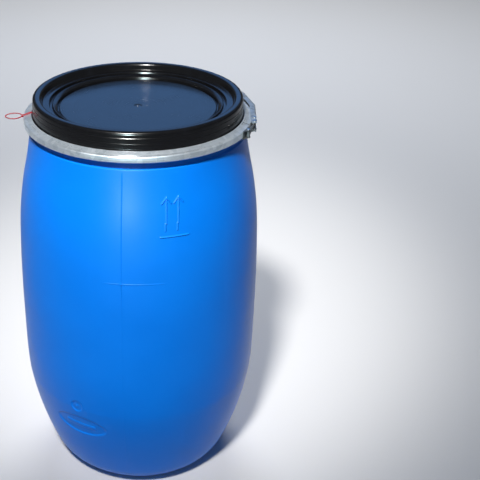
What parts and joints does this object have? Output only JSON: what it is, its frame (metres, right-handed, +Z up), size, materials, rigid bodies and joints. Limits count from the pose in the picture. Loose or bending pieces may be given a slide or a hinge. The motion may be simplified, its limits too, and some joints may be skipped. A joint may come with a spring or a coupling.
{
  "type": "open-top drum",
  "caption": "Tall round blue plastic open-top drum with a bellied side, a black lid held by a galvanised lever-lock clamp ring, and a small red seal.",
  "frame": {"origin": "centre of the base, on the floor, on the drum's axis", "axes": "+Z up along the drum's axis; -Y is the front, and the ring's closure is on the right at +X"},
  "size_m": [0.4891, 0.48, 0.803],
  "materials": {
    "blue_plastic": "blow-moulded polyethylene, satin gloss",
    "black_plastic": "moulded polyethylene, polished",
    "gasket_rubber": "soft foam rubber",
    "zinc_band": "rolled galvanised steel",
    "zinc_pressing": "pressed galvanised steel",
    "rivet_steel": "zinc-plated, bright",
    "red_plastic": "moulded nylon, slightly clear"
  },
  "bodies": {
    "drum": {"drum_body": "blue_plastic"},
    "lid": {"lid": "black_plastic", "lid_gasket": "gasket_rubber"},
    "ring": {"clamp_band_rear": "zinc_band", "hinge_bracket": "zinc_pressing", "lever_pivot_rivets": "rivet_steel", "lock_lug": "zinc_pressing"},
    "ring_front": {"clamp_band_front": "zinc_band", "anchor_bracket": "zinc_pressing", "anchor_rivets": "rivet_steel", "seal_crimp": "red_plastic", "seal_loop": "red_plastic", "seal_strands": "red_plastic"},
    "lever": {"closure_lever": "zinc_pressing", "link_rivet": "rivet_steel"},
    "link": {"tension_link": "zinc_pressing", "link_end_pin": "rivet_steel"}
  },
  "joints": [
    {"name": "lid_lift", "type": "slide", "parent": "drum", "child": "lid", "axis": [0, 0, 1], "range_m": [0, 0.1]},
    {"name": "ring_lift", "type": "slide", "parent": "drum", "child": "ring", "axis": [0, 0, 1], "range_m": [0, 0.18]},
    {"name": "lever_open", "type": "hinge", "parent": "ring", "child": "lever", "pos_m": [0.21489, -0.05159, 0.76], "axis": [0, 0, -1], "range_deg": [0, 150]},
    {"name": "link_swing", "type": "hinge", "parent": "lever", "child": "link", "pos_m": [0.21632, -0.03349, 0.76], "axis": [0, 0, 1], "range_deg": [0, 131.6]},
    {"name": "ring_open", "type": "hinge", "parent": "ring", "child": "ring_front", "pos_m": [-0.20359, 0.06911, 0.76], "axis": [0, 0, -1], "range_deg": [0, 3.9], "deforming": ["clamp_band_front", "clamp_band_rear", "seal_strands"]}
  ],
  "couplings": [
    {"joint": "link_swing", "follows": "lever_open", "ratio": 0.87432},
    {"joint": "ring_open", "follows": "lever_open", "ratio": 0.025117}
  ]
}
